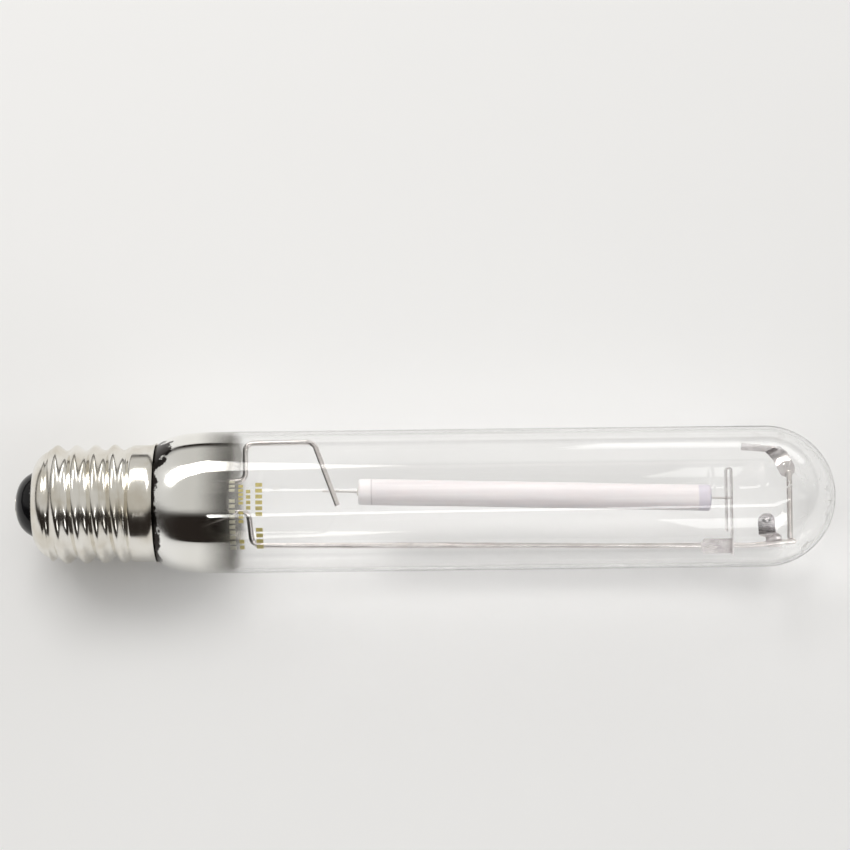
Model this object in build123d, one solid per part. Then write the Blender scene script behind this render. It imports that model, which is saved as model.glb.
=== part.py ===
from math import atan2, cos, degrees, radians, sin, sqrt
import os

from build123d import *

os.makedirs("parts", exist_ok=True)

# High-pressure sodium lamp, tubular, with a large screw cap. Millimetres and degrees.
# Lamp frame: X runs from the flat tip of the nose to the dome, Y lies in the plane of the wire mount,
# towards the upper lead rod, and Z stands square to that plane.

# Bulb of blown glass
bulb_diameter = 47.0
glass_wall = 1.1
neck_inside_skirt = 3.35  # the neck's radius is this much less than the cap's skirt
neck_end = 20.0  # open end of the neck, from the nose
shoulder_inside_cap = 10.8  # the neck starts to widen this far inside the cap's rim
shoulder_length = 19.2  # from the cap's rim to the full diameter
rim_to_glass = 0.15
glass_past_rim = 0.3  # the shoulder keeps clear of the rim up to here
# Share of the length, and share of the rise, at each point between the neck and the rim
neck_curve = [(0.0, 0.0), (0.5946, 0.2391)]
# The same between the rim and the full diameter
shoulder_curve = [(0.0, 0.0), (0.2222, 0.5556), (0.5238, 0.8704), (1.0, 1.0)]
shoulder_samples = 10

# Chain of lengths along the lamp
press_end = 70.0  # inner face of the stem's press, from the nose
press_to_arc_tube = 43.6
arc_tube_length = 117.0
dome_lead_length = 6.8
strip_to_cross_bar = 20.1
cross_bar_to_tip = 14.5

# Screw shell
lip_from_nose = 6.0
lip_inside_skirt = 8.35  # the lip's radius is this much less than the skirt's
front_round = 8.0
front_inside_skirt = 1.75  # the front round meets the thread this far inside the skirt
thread_start = 10.6
run_in_length = 1.4
thread_turns = 4
thread_pitch = 6.35
thread_depth = 1.85
crest_over_skirt = 0.35
crest_on_upper_side = 7.4  # a crest of the thread faces Y here
run_out_length = 2.2
skirt_length = 5.0
skirt_diameter = 38.7
rim_flare_length = 2.2
rim_over_skirt = 0.7
shell_wall = 0.45

# Nose: contact plate, solder and black glass
contact_diameter = 8.4
contact_thickness = 1.2
contact_proud = 0.3  # the plate stands this far out of the black glass
contact_edge_round = 0.25
contact_hole_diameter = 3.0
insulator_face_diameter = 9.2
nose_bulge = 0.8
lead_hole_diameter = 2.4
cement_length = 5.2

# Stem of clear glass
flare_rim_thickness = 1.2
flare_length = 12.0
stem_tube_diameter = 19.0
stem_wall = 1.1
press_width = 20.0
press_thickness = 7.5
press_length = 10.0
press_taper = 8.0
stem_hollow_end = 57.0
hollow_end_thickness = 5.6
hollow_side_wall = 1.6
press_corner_round = 2.0
exhaust_diameter = 4.8
exhaust_bore = 3.2
exhaust_tip_from_nose = 14.0

# Wires through and behind the press
seal_wire_diameter = 1.0
seal_wire_length = 20.0
outer_wire_diameter = 0.8
upper_wire_offset = 7.0  # from the axis, along Y
lower_wire_offset = -3.2
exhaust_offset = 2.5
outer_bend_radius = 2.0
centre_wire_bend = 7.0  # from the start of the thread to each end of the slanted run
centre_wire_straight = 1.0
shell_weld_turns = 1.5  # turns of the thread from its crest near the lip to the weld
shell_weld_diameter = 3.0
shell_weld_height = 1.2

# Rods of the mount
upper_rod_diameter = 1.8
upper_rod_rise = 6.1  # the upright stands this far past the press
upper_rod_lean = 0.1
upper_rod_run = 22.7
upper_rod_droop = 0.25
upper_rod_slope_run = 7.8
upper_rod_overreach = 1.3  # share of the height at which the rod crosses the thin lead
upper_rod_to_glass = 1.65
upper_rod_tip_offset = -1.4
upper_rod_bends = [2.6, 2.8, 3.4]
frame_rod_diameter = 1.9
frame_rod_rise = 7.0
frame_rod_foot = 1.0
frame_rod_to_glass_base = 6.95
frame_rod_to_glass_dome = 4.85
frame_rod_bends = [2.6, 3.0, 26.0]
frame_rod_kink_to_tip = 28.0
frame_rod_end_to_tip = 12.7
frame_rod_end_lift = 1.4
cross_bar_diameter = 2.0
cross_bar_length = 23.0
cross_bar_edge_round = 0.4

# Folded strip that carries the dome end of the arc tube
strip_width = 5.0
strip_thickness = 0.35
strip_fold_width = 1.75
strip_above_lead = 10.0
strip_tail_above_foot = 11.0
strip_below_rod = 2.8
strip_lead_hole = 1.3
strip_foot_length = 10.2
strip_foot_height = 4.9
strip_foot_round = 1.6
strip_slot_length = 4.2
strip_slot_width = 0.7
strip_slot_from_end = 1.0
strip_slot_below_rod = 0.4

# Spring straps in the dome
spring_width = 5.5
spring_thickness = 0.3
front_spring_to_tip = 19.8
front_spring_lean = 6.0
front_spring_foot = 3.7
front_spring_wall_gap = 0.62
front_spring_pad_angle = 21.5
front_spring_bend_angle = 33.0
front_spring_bend_shift = 0.5
front_spring_foot_offset = 2.1
front_spring_flat_offset = 1.1  # the foot lies flat under the rod up to here
front_dimple_radius = 1.5
front_dimple_height = 0.45
rear_spring_slant = 24.0
rear_spring_pad_shift = 0.6
rear_spring_pad_rise = 0.4
rear_spring_flat = 2.3
rear_spring_step = (2.4, 1.6)
rear_spring_reach = 3.7
rear_spring_wall_gap = 1.3
rear_dimple_radius = 0.8
rear_dimple_height = 0.25
rear_dimple_shift = 1.2
rear_spring_angle = 35.5
rear_leaf_angle = 38.0
rear_leaf_start_shift = 1.2
rear_leaf_start_angle = 36.1
rear_leaf_width = 3.6
rear_leaf_length = 11.6
rear_leaf_wall_gap = 0.7

# Arc tube of translucent ceramic, with its ends' offsets from the lamp's axis along Y
arc_tube_diameter = 8.7
arc_tube_wall = 0.7
arc_tube_chamfer = 0.5
arc_tube_offset_base = 3.0
arc_tube_offset_dome = -0.4
plug_length = 4.0
frit_thickness = 0.5
frit_diameter = 3.4
frit_edge = 0.3
base_lead_diameter = 0.95
base_lead_length = 12.0
dome_lead_diameter = 0.65
lead_inside = 5.0
electrode_diameter = 1.2
electrode_length = 10.5
coil_wire_diameter = 0.45
coil_pitch = 0.55
coil_turns = 9
coil_from_tip = 1.6
amalgam_diameter = 2.2
amalgam_from_end = 9.0

# Getter beside the stem
getter_ring_diameter = 7.2
getter_ring_section = 1.4
getter_wire_diameter = 0.5
getter_behind_press = 13.0
getter_offset = -8.3
getter_height = 12.5
getter_wire_start = 3.5  # from the press
getter_wire_bend = (2.0, -1.2, 4.3)  # from the press, from the rod's line and from the wire's start

# Clearances
weld_gap = 0.05
seal_gap = 0.05
plug_gap = 0.05
curved_gap = 0.15
cement_gap = 0.15
overcut = 1.0  # cutting tools run this far past the face that they cut

# How the mount is turned about the axis as the lamp lies
mount_roll = 22.0

# Worked-out places
bulb_radius = bulb_diameter / 2
inner_radius = bulb_radius - glass_wall
skirt_radius = skirt_diameter / 2
rim_radius = skirt_radius + rim_over_skirt
front_radius = skirt_radius - front_inside_skirt
lip_radius = skirt_radius - lip_inside_skirt
neck_radius = skirt_radius - neck_inside_skirt
thread_mean_radius = skirt_radius + crest_over_skirt - thread_depth / 2
thread_offset = thread_depth / 2
thread_full = thread_start + run_in_length
thread_end = thread_full + thread_turns * thread_pitch
skirt_start = thread_end + run_out_length
flare_start = skirt_start + skirt_length
cap_length = flare_start + rim_flare_length
shoulder_start = cap_length - shoulder_inside_cap
shoulder_at_rim = (cap_length + glass_past_rim, rim_radius - shell_wall - rim_to_glass)
shoulder_end = cap_length + shoulder_length
arc_tube_start = press_end + press_to_arc_tube
arc_tube_end = arc_tube_start + arc_tube_length
strip_place = arc_tube_end + dome_lead_length
cross_bar_place = strip_place + strip_to_cross_bar
overall_length = cross_bar_place + cross_bar_to_tip
dome_centre = overall_length - bulb_radius
press_start = press_end - press_length
arc_tube_tilt = degrees(atan2(arc_tube_offset_dome - arc_tube_offset_base, arc_tube_length))
frame_rod_height = -(strip_width / 2 + weld_gap + frame_rod_diameter / 2)
frame_rod_base_offset = -(inner_radius - frame_rod_to_glass_base - frame_rod_diameter / 2)
frame_rod_dome_offset = -(inner_radius - frame_rod_to_glass_dome - frame_rod_diameter / 2)
frame_rod_kink = overall_length - frame_rod_kink_to_tip
frame_rod_end = overall_length - frame_rod_end_to_tip


def turned(*lines):
    # A closed outline in X and distance from the axis, turned about the axis
    return revolve(make_face(Wire(list(lines))), axis=Axis.X)


def turned_polygon(*points):
    return revolve(make_face(Polyline(*points, close=True)), axis=Axis.X)


def rod_between(start, end, diameter):
    run = Vector(*end) - Vector(*start)
    return extrude(Plane(origin=start, z_dir=run) * Circle(diameter / 2), amount=run.length)


def bent_rod(points, bend_radii, diameter):
    # Straight runs joined by tangent bends, as round wire is bent
    path = FilletPolyline(*points, radius=bend_radii)
    return sweep(Plane(origin=path @ 0, z_dir=path % 0) * Circle(diameter / 2), path=path)


def folded_strap(stations, width, thickness):
    # Flat strap through stations of a point and the direction across its width
    points = [Vector(*point) for point, across in stations]
    runs = [(after - before).normalized() for before, after in zip(points, points[1:])]
    sections = []
    for number, (point, across) in enumerate(stations):
        heading = runs[max(number - 1, 0)] + runs[min(number, len(runs) - 1)]
        plane = Plane(origin=point, x_dir=across, z_dir=heading)
        sections.append(plane * Rectangle(width, thickness))
    return loft(sections, ruled=True)


def glass_inner_radius(place):
    # Inside radius of the tube, or of the dome past the dome's centre
    return sqrt(inner_radius**2 - max(place - dome_centre, 0.0) ** 2)


def in_arc_tube(shape):
    # Arc tube pieces are drawn from its base end along X, then laid on its own slightly tilted line
    return Location((arc_tube_start, arc_tube_offset_base, 0), (0, 0, arc_tube_tilt)) * shape


def arc_tube_line(place):
    # Offset of the arc tube's line from the lamp's axis at a place along the lamp
    share = (place - arc_tube_start) / arc_tube_length
    return arc_tube_offset_base + share * (arc_tube_offset_dome - arc_tube_offset_base)


def points_between(start, end, shares):
    return [(start[0] + a * (end[0] - start[0]), start[1] + b * (end[1] - start[1])) for a, b in shares]


def shoulder_line(inset):
    # The shoulder's curve past the rim of the cap, moved inwards along its own normal
    neck = (shoulder_start, neck_radius)
    tube = (shoulder_end, bulb_radius)
    points = points_between(neck, shoulder_at_rim, neck_curve)
    points += points_between(shoulder_at_rim, tube, shoulder_curve)
    outside = Spline(*points, tangents=[(1, 0), (1, 0)])
    moved = []
    for number in range(shoulder_samples + 1):
        share = number / shoulder_samples
        along = outside % share
        moved.append(outside @ share + inset * Vector(along.Y, -along.X))
    return Spline(*moved, tangents=[(1, 0), (1, 0)])


def glass_body(inset):
    # Solid of the bulb's outline, moved inwards from the outside of the glass
    neck = neck_radius - inset
    tube = bulb_radius - inset
    return turned(
        Line((neck_end, 0), (neck_end, neck)),
        Line((neck_end, neck), (shoulder_start, neck)),
        shoulder_line(inset),
        Line((shoulder_end, tube), (dome_centre, tube)),
        CenterArc((dome_centre, 0), tube, 90, -90),
        Line((dome_centre + tube, 0), (neck_end, 0)),
    )


def thread_centre(place):
    # The round thread is a circle carried on a small helix about the axis
    turn = radians(360 * (place - crest_on_upper_side) / thread_pitch)
    return (place, thread_offset * cos(turn), thread_offset * sin(turn))


def front_centre():
    # Centre of the arc of front_round from the lip to the start of the thread
    along = thread_start - lip_from_nose
    rise = front_radius - lip_radius
    chord = sqrt(along**2 + rise**2)
    depth = sqrt(front_round**2 - (chord / 2) ** 2)
    middle_x = (lip_from_nose + thread_start) / 2
    middle_y = (lip_radius + front_radius) / 2
    return (middle_x + depth * rise / chord, middle_y - depth * along / chord)


def front_solid(inset):
    # Rounded front, from the plane where its arc crosses the lip's radius to the thread
    centre_x, centre_y = front_centre()
    arc_radius = front_round - inset
    lip_x = centre_x - sqrt(arc_radius**2 - (lip_radius - centre_y) ** 2)
    end_y = centre_y + sqrt(arc_radius**2 - (centre_x - thread_start) ** 2)
    lip = (lip_x, lip_radius)
    end = (thread_start, end_y)
    lip_turn = degrees(atan2(lip_radius - centre_y, lip_x - centre_x))
    end_turn = degrees(atan2(end_y - centre_y, thread_start - centre_x))
    arc = CenterArc((centre_x, centre_y), arc_radius, lip_turn, end_turn - lip_turn)
    solid = turned(
        Line((lip_x, 0), lip),
        arc,
        Line(end, (thread_start, 0)),
        Line((thread_start, 0), (lip_x, 0)),
    )
    return solid, end_y


def across_axis(centre, radius):
    return Plane(origin=centre, x_dir=(0, 1, 0), z_dir=(1, 0, 0)) * Circle(radius)


def thread_helix():
    start_turn = 360 * (thread_full - crest_on_upper_side) / thread_pitch
    helix = Helix(thread_pitch, thread_turns * thread_pitch, thread_offset)
    return Location((thread_full, 0, 0)) * Rotation(0, 90, 0) * Rotation(0, 0, start_turn + 90) * helix


def cap_body(inset):
    # Solid of the whole cap's outline, moved inwards from the outside of the shell
    front, front_end_radius = front_solid(inset)
    crest_circle = thread_mean_radius - inset
    skirt = skirt_radius - inset
    rim = rim_radius - inset
    run_in = loft([across_axis((thread_start, 0, 0), front_end_radius),
                   across_axis(thread_centre(thread_full), crest_circle)])
    thread_section = across_axis(thread_centre(thread_full), crest_circle)
    thread = sweep(thread_section, path=thread_helix(), normal=(1, 0, 0))
    run_out = loft([across_axis(thread_centre(thread_end), crest_circle),
                    across_axis((skirt_start, 0, 0), skirt)])
    plain = turned(
        Line((skirt_start, 0), (skirt_start, skirt)),
        Line((skirt_start, skirt), (flare_start, skirt)),
        TangentArc((flare_start, skirt), (cap_length, rim), tangent=(1, 0)),
        Line((cap_length, rim), (cap_length, 0)),
        Line((cap_length, 0), (skirt_start, 0)),
    )
    return front + run_in + thread + run_out + plain


def make_screw_shell():
    opening = rod_between((0, 0, 0), (thread_start, 0, 0), 2 * lip_radius)
    return cap_body(0) - cap_body(shell_wall) - opening


def make_base_insulator():
    # Black glass: a short cone with a slight bulge, held behind the lip by its round flange
    flange, flange_radius = front_solid(shell_wall + curved_gap)
    face = insulator_face_diameter / 2
    waist = lip_radius - curved_gap
    nose_middle = ((contact_proud + lip_from_nose) / 2 - nose_bulge, (face + waist) / 2 + nose_bulge)
    nose = turned(
        Line((contact_proud, 0), (contact_proud, face)),
        ThreePointArc((contact_proud, face), nose_middle, (lip_from_nose, waist)),
        Line((lip_from_nose, waist), (thread_start, waist)),
        Line((thread_start, waist), (thread_start, 0)),
        Line((thread_start, 0), (contact_proud, 0)),
    )
    recess = rod_between((0, 0, 0), (contact_thickness + seal_gap, 0, 0), contact_diameter + 2 * seal_gap)
    hole = rod_between((0, 0, 0), (thread_start + overcut, 0, 0), lead_hole_diameter)
    return nose + flange - recess - hole


def make_centre_contact():
    plate = rod_between((0, 0, 0), (contact_thickness, 0, 0), contact_diameter)
    front_edge = plate.edges().sort_by(Axis.X)[0]
    plate = fillet(front_edge, contact_edge_round)
    hole = rod_between((-overcut, 0, 0), (contact_thickness + overcut, 0, 0), contact_hole_diameter)
    return plate - hole


def make_centre_solder():
    return rod_between((0, 0, 0), (contact_thickness, 0, 0), contact_hole_diameter - 2 * seal_gap)


def make_basing_cement():
    diameter = skirt_diameter - 2 * (shell_wall + cement_gap)
    ring = rod_between((skirt_start, 0, 0), (skirt_start + cement_length, 0, 0), diameter)
    return ring - glass_body(-cement_gap)


def make_glass_envelope():
    return glass_body(0) - glass_body(glass_wall)


def make_glass_stem():
    # The flare's rim is sealed to the end of the neck, and its tube runs on to the flat press
    tube = stem_tube_diameter / 2
    bore = tube - stem_wall
    rim_back = neck_end - flare_rim_thickness
    mouth = neck_radius - glass_wall - curved_gap
    flare_end = neck_end + flare_length
    taper_start = press_start - press_taper
    outside = turned(
        Line((rim_back, 0), (rim_back, neck_radius)),
        Line((rim_back, neck_radius), (neck_end, neck_radius)),
        Line((neck_end, neck_radius), (neck_end, mouth)),
        Spline((neck_end, mouth), (flare_end, tube), tangents=[(0.9, -1), (1, 0)]),
        Line((flare_end, tube), (taper_start, tube)),
        Line((taper_start, tube), (taper_start, 0)),
        Line((taper_start, 0), (rim_back, 0)),
    )
    inside = turned(
        Line((rim_back, 0), (rim_back, mouth - stem_wall)),
        Spline((rim_back, mouth - stem_wall), (flare_end, bore), tangents=[(0.9, -1), (1, 0)]),
        Line((flare_end, bore), (taper_start, bore)),
        Line((taper_start, bore), (taper_start, 0)),
        Line((taper_start, 0), (rim_back, 0)),
    )
    press_plane = Plane(origin=(press_start, 0, 0), x_dir=(0, 1, 0), z_dir=(1, 0, 0))
    press_outline = press_plane * RectangleRounded(press_width, press_thickness, press_corner_round)
    taper = loft([across_axis((taper_start, 0, 0), tube), press_outline])
    press = extrude(press_outline, amount=press_length)
    hollow_plane = Plane(origin=(stem_hollow_end, 0, 0), x_dir=(0, 1, 0), z_dir=(1, 0, 0))
    hollow_width = press_width - 2 * hollow_side_wall
    hollow_outline = RectangleRounded(hollow_width, hollow_end_thickness, press_corner_round)
    hollow = loft([across_axis((taper_start, 0, 0), bore), hollow_plane * hollow_outline])
    stem = outside + taper + press - inside - hollow
    for offset in (upper_wire_offset, lower_wire_offset):
        start = (press_end - seal_wire_length, offset, 0)
        stem -= rod_between(start, (press_end + overcut, offset, 0), seal_wire_diameter + 2 * seal_gap)
    return stem


def make_exhaust_tube():
    # Clear tube, open where it meets the press and melted shut behind the nose
    radius = exhaust_diameter / 2
    tip_centre = exhaust_tip_from_nose + radius
    outline = turned(
        CenterArc((tip_centre, 0), radius, 180, -90),
        Line((tip_centre, radius), (stem_hollow_end, radius)),
        Line((stem_hollow_end, radius), (stem_hollow_end, 0)),
        Line((stem_hollow_end, 0), (exhaust_tip_from_nose, 0)),
    )
    bore = rod_between((tip_centre, 0, 0), (stem_hollow_end, 0, 0), exhaust_bore)
    return Location((0, exhaust_offset, 0)) * (outline - bore)


def make_seal_wire(offset):
    start = press_end - seal_wire_length
    return rod_between((start, offset, 0), (press_end, offset, 0), seal_wire_diameter)


def make_centre_lead_wire():
    # From the lower seal wire to the back of the solder, through the hole in the black glass
    points = [
        (press_end - seal_wire_length, lower_wire_offset, 0),
        (thread_start + centre_wire_bend, lower_wire_offset, 0),
        (thread_start + centre_wire_straight, 0, 0),
        (contact_thickness, 0, 0),
    ]
    return bent_rod(points, outer_bend_radius, outer_wire_diameter)


def shell_weld_place():
    # Second trough of the thread on the upper side, counted from the crest near the lip
    return crest_on_upper_side + shell_weld_turns * thread_pitch


def shell_inner_trough():
    return thread_mean_radius - thread_offset - shell_wall


def make_shell_lead_wire():
    place = shell_weld_place()
    weld_face = shell_inner_trough() - curved_gap - shell_weld_height
    points = [
        (press_end - seal_wire_length, upper_wire_offset, 0),
        (place, upper_wire_offset, 0),
        (place, weld_face, 0),
    ]
    return bent_rod(points, outer_bend_radius, outer_wire_diameter)


def make_shell_weld():
    place = shell_weld_place()
    top = shell_inner_trough() - curved_gap
    return rod_between((place, top - shell_weld_height, 0), (place, top, 0), shell_weld_diameter)


def lead_crossing_height():
    # The upper rod passes this far in front of the thin lead that it is welded to
    return (upper_rod_diameter + base_lead_diameter) / 2 + weld_gap


def make_upper_lead_rod():
    upright = press_end + upper_rod_rise
    top = inner_radius - upper_rod_to_glass - upper_rod_diameter / 2
    slope = upright + upper_rod_run
    points = [
        (press_end, upper_wire_offset, 0),
        (upright, upper_wire_offset, 0),
        (upright + upper_rod_lean, top - upper_rod_droop, 0),
        (slope, top, 0),
        (slope + upper_rod_slope_run, upper_rod_tip_offset, upper_rod_overreach * lead_crossing_height()),
    ]
    return bent_rod(points, upper_rod_bends, upper_rod_diameter)


def make_frame_rod():
    upright = press_end + frame_rod_rise
    points = [
        (press_end, lower_wire_offset, 0),
        (upright, lower_wire_offset, 0),
        (upright + frame_rod_foot, frame_rod_base_offset, frame_rod_height),
        (frame_rod_kink, frame_rod_dome_offset, frame_rod_height),
        (frame_rod_end, frame_rod_dome_offset + frame_rod_end_lift, frame_rod_height),
    ]
    return bent_rod(points, frame_rod_bends, frame_rod_diameter)


def frame_rod_line(place):
    # Offset of the frame rod's long run from the axis, along Y
    base_place = press_end + frame_rod_rise + frame_rod_foot
    if place < frame_rod_kink:
        share = (place - base_place) / (frame_rod_kink - base_place)
        return frame_rod_base_offset + share * (frame_rod_dome_offset - frame_rod_base_offset)
    share = (place - frame_rod_kink) / (frame_rod_end - frame_rod_kink)
    return frame_rod_dome_offset + share * frame_rod_end_lift


def cross_bar_foot():
    return frame_rod_line(cross_bar_place) + frame_rod_diameter / 2 + weld_gap


def cross_bar_top():
    return cross_bar_foot() + cross_bar_length


def make_dome_cross_bar():
    start = (cross_bar_place, cross_bar_foot(), frame_rod_height)
    end = (cross_bar_place, cross_bar_top(), frame_rod_height)
    bar = rod_between(start, end, cross_bar_diameter)
    return fillet(bar.edges().filter_by(GeomType.CIRCLE), cross_bar_edge_round)


def make_support_strip():
    # A hairpin of thin strip seen on edge, with a flat foot folded along the frame rod
    lead_line = arc_tube_line(strip_place)
    rod_line = frame_rod_line(strip_place)
    main_x = strip_place + strip_thickness / 2
    fold_x = main_x - strip_fold_width
    bend_y = lead_line + strip_above_lead - strip_fold_width / 2
    foot_x = main_x + strip_thickness / 2
    tail_y = lead_line - strip_tail_above_foot
    path = Wire([
        Line((fold_x, tail_y), (fold_x, bend_y)),
        CenterArc(((fold_x + main_x) / 2, bend_y), strip_fold_width / 2, 180, -180),
        Line((main_x, bend_y), (main_x, rod_line - strip_below_rod)),
    ])
    start = Plane(origin=(fold_x, tail_y, 0), x_dir=(0, 0, 1), z_dir=(0, 1, 0))
    hairpin = sweep(start * Rectangle(strip_width, strip_thickness), path=path)
    hole_start = (fold_x - overcut, lead_line, 0)
    hole_end = (strip_place - weld_gap, lead_line, 0)
    hairpin -= rod_between(hole_start, hole_end, strip_lead_hole)
    foot_centre = (foot_x - strip_foot_length / 2, rod_line, -strip_width / 2 + strip_thickness / 2)
    foot = Location(foot_centre) * Box(strip_foot_length, strip_foot_height, strip_thickness)
    far_corners = foot.edges().filter_by(Axis.Z).group_by(Axis.X)[0]
    foot = fillet(far_corners, strip_foot_round)
    slot_x = foot_x - strip_foot_length + strip_slot_from_end + strip_slot_length / 2
    slot_centre = (slot_x, rod_line - strip_slot_below_rod, foot_centre[2])
    slot = Location(slot_centre) * Box(strip_slot_length, strip_slot_width, 2 * strip_thickness)
    return hairpin + foot - slot


def polar(place, radius, turn):
    # Point at a distance from the axis, turned from Z towards -Y
    return (place, -radius * sin(radians(turn)), radius * cos(radians(turn)))


def dimple(pad_plane, radius, height):
    # Round dimple pressed up from a strap's pad: a slice of a ball over the pad's plane
    ball_radius = (radius**2 + height**2) / (2 * height)
    ball_centre = spring_thickness / 2 + height - ball_radius
    ball = pad_plane * Location((0, 0, ball_centre)) * Sphere(ball_radius)
    column = extrude(pad_plane * Circle(radius), amount=2 * height + spring_thickness)
    return ball & column


def make_front_dome_spring():
    # Strap from behind the frame rod up to the glass, with a round dimpled pad
    foot_place = overall_length - front_spring_to_tip
    pad_place = foot_place - front_spring_lean
    foot_height = frame_rod_height - frame_rod_diameter / 2 - weld_gap - spring_thickness / 2
    rod_line = frame_rod_line(foot_place)
    pad_radius = glass_inner_radius(pad_place + spring_width / 2) - front_spring_wall_gap
    foot_end = rod_line + front_spring_foot_offset
    pad = polar(pad_place, pad_radius, front_spring_pad_angle)
    bend = polar(pad_place + front_spring_bend_shift, pad_radius, front_spring_bend_angle)
    across = (1, 0, 0)
    stations = [
        ((foot_place, foot_end - front_spring_foot, foot_height), across),
        ((foot_place, rod_line + front_spring_flat_offset, foot_height), across),
        ((foot_place, foot_end, foot_height), across),
        (bend, across),
        (pad, across),
    ]
    strap = folded_strap(stations, spring_width, spring_thickness)
    run = (Vector(*pad) - Vector(*bend)).normalized()
    pad_plane = Plane(origin=pad, x_dir=across, z_dir=Vector(1, 0, 0).cross(run))
    disc = extrude(pad_plane * Circle(spring_width / 2), amount=spring_thickness / 2, both=True)
    return strap + disc + dimple(pad_plane, front_dimple_radius, front_dimple_height)


def make_rear_dome_spring():
    # Strap welded behind the cross bar's end, stepping out to the glass, with a leaf along the glass
    lean = radians(rear_spring_slant)
    height = frame_rod_height - cross_bar_diameter / 2 - weld_gap - spring_thickness / 2
    pad_y = cross_bar_top() + rear_spring_pad_rise
    pad = Vector(cross_bar_place - rear_spring_pad_shift, pad_y, height)
    outwards = Vector(-sin(lean), cos(lean), 0)
    across = (cos(lean), sin(lean), 0)
    first = pad + outwards * rear_spring_flat
    second = first + outwards * rear_spring_step[0] - Vector(0, 0, rear_spring_step[1])
    wall_place = pad.X - rear_spring_reach
    wall_radius = glass_inner_radius(wall_place + spring_width / 2) - rear_spring_wall_gap
    third = polar(wall_place, wall_radius, -90 - rear_spring_angle)
    strap = folded_strap(
        [(tuple(pad), across), (tuple(first), across), (tuple(second), across), (third, across)],
        spring_width,
        spring_thickness,
    )
    disc = extrude(Plane(origin=pad) * Circle(spring_width / 2), amount=spring_thickness / 2, both=True)
    leaf_turn = -90 - rear_leaf_angle
    tangent = (0, -cos(radians(leaf_turn)), -sin(radians(leaf_turn)))
    leaf_start = polar(wall_place + rear_leaf_start_shift, wall_radius, -90 - rear_leaf_start_angle)
    leaf_end_place = leaf_start[0] - rear_leaf_length
    leaf_end = polar(leaf_end_place, glass_inner_radius(leaf_end_place) - rear_leaf_wall_gap, leaf_turn)
    leaf = folded_strap([(leaf_start, tangent), (leaf_end, tangent)], rear_leaf_width, spring_thickness)
    dimple_plane = Plane(origin=pad + outwards * rear_dimple_shift)
    return strap + disc + leaf + dimple(dimple_plane, rear_dimple_radius, rear_dimple_height)


def make_arc_tube_body():
    tube = rod_between((0, 0, 0), (arc_tube_length, 0, 0), arc_tube_diameter)
    tube = chamfer(tube.edges().filter_by(GeomType.CIRCLE), arc_tube_chamfer)
    bore_diameter = arc_tube_diameter - 2 * arc_tube_wall
    bore = rod_between((-overcut, 0, 0), (arc_tube_length + overcut, 0, 0), bore_diameter)
    return in_arc_tube(tube - bore)


def make_arc_tube_plug(start, lead_diameter):
    diameter = arc_tube_diameter - 2 * (arc_tube_wall + plug_gap)
    plug = rod_between((start, 0, 0), (start + plug_length, 0, 0), diameter)
    hole_end = start + plug_length + overcut
    hole = rod_between((start - overcut, 0, 0), (hole_end, 0, 0), lead_diameter + 2 * seal_gap)
    return in_arc_tube(plug - hole)


def make_frit_ring(face, outwards, lead_diameter):
    # Sealing glass, wide on the plug's face and narrow on the lead
    lead = lead_diameter / 2 + seal_gap
    outer = frit_diameter / 2
    away = face + outwards * frit_thickness
    ring = turned_polygon((face, lead), (face, outer), (away, lead + frit_edge), (away, lead))
    return in_arc_tube(ring)


def make_niobium_lead(start, end, diameter):
    return in_arc_tube(rod_between((start, 0, 0), (end, 0, 0), diameter))


def make_electrode_rod(lead_end, inwards):
    tip = lead_end + inwards * electrode_length
    return in_arc_tube(rod_between((lead_end, 0, 0), (tip, 0, 0), electrode_diameter))


def make_electrode_coil(lead_end, inwards):
    coil_length = coil_turns * coil_pitch
    coil_radius = electrode_diameter / 2 + weld_gap + coil_wire_diameter / 2
    tip = lead_end + inwards * (electrode_length - coil_from_tip)
    start = min(tip, tip - inwards * coil_length)
    helix = Location((start, 0, 0)) * Rotation(0, 90, 0) * Helix(coil_pitch, coil_length, coil_radius)
    section = Plane(origin=helix @ 0, z_dir=helix % 0) * Circle(coil_wire_diameter / 2)
    return in_arc_tube(sweep(section, path=helix, is_frenet=True))


def make_amalgam_pellet():
    # It lies on the lowest line of the arc tube's bore as the lamp rests
    reach = arc_tube_diameter / 2 - arc_tube_wall - amalgam_diameter / 2 - curved_gap
    down = radians(mount_roll)
    place = (arc_tube_length - plug_length - amalgam_from_end, -reach * sin(down), -reach * cos(down))
    return in_arc_tube(Location(place) * Sphere(amalgam_diameter / 2))


def getter_centre():
    return (press_end - getter_behind_press, getter_offset, getter_height)


def make_getter_ring():
    return Location(getter_centre()) * Torus(getter_ring_diameter / 2, getter_ring_section / 2)


def make_getter_wire():
    # Thin wire from the frame rod, round the press's edge and back to the ring
    x, y, z = getter_centre()
    bend_x, bend_y, bend_z = getter_wire_bend
    ring_edge = x + getter_ring_diameter / 2 + getter_ring_section / 2
    start_height = (frame_rod_diameter + getter_wire_diameter) / 2 + weld_gap
    points = [
        (press_end + getter_wire_start, lower_wire_offset, start_height),
        (press_end + bend_x, lower_wire_offset + bend_y, start_height + bend_z),
        (ring_edge + 2 * weld_gap, y, z),
    ]
    return bent_rod(points, outer_bend_radius, getter_wire_diameter)


def lay_down(shape):
    # From the lamp frame to the resting place: middle of the length over the origin, glass on the surface
    return Location((-overall_length / 2, 0, bulb_radius)) * Rotation(mount_roll, 0, 0) * shape


base_lead_end = lead_inside
dome_lead_start = arc_tube_length - lead_inside

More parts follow.
